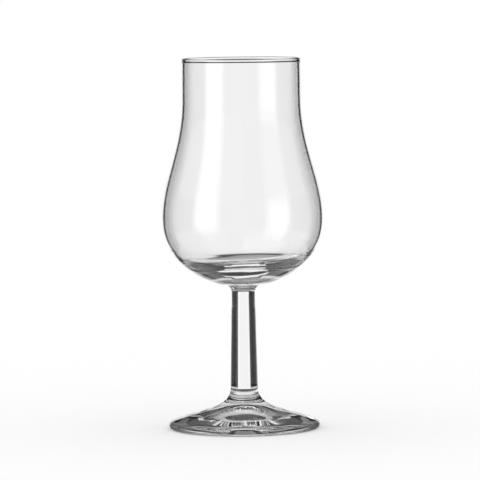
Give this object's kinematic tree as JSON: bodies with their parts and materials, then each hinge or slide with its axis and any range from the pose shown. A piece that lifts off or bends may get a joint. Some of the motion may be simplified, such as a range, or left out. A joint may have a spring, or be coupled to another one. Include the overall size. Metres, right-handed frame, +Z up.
{
  "type": "cognac glass",
  "caption": "Clear stemmed tulip glass for cognac: round belly drawn in to a straight neck, heavy flat-floored base, short solid stem and low conical foot.",
  "frame": {"origin": "middle of the flat resting ring under the foot, on the table", "axes": "+Z up along the glass's axis of revolution; X and Y are interchangeable"},
  "size_m": [0.0584, 0.0584, 0.134],
  "materials": {
    "bowl_glass": "clear colourless blown glass, fire-polished",
    "stem_glass": "clear colourless pressed glass, fire-polished",
    "foot_glass": "clear colourless pressed glass, slightly rippled"
  },
  "bodies": {
    "root": {"bowl": "bowl_glass", "stem": "stem_glass", "foot": "foot_glass"}
  },
  "joints": []
}
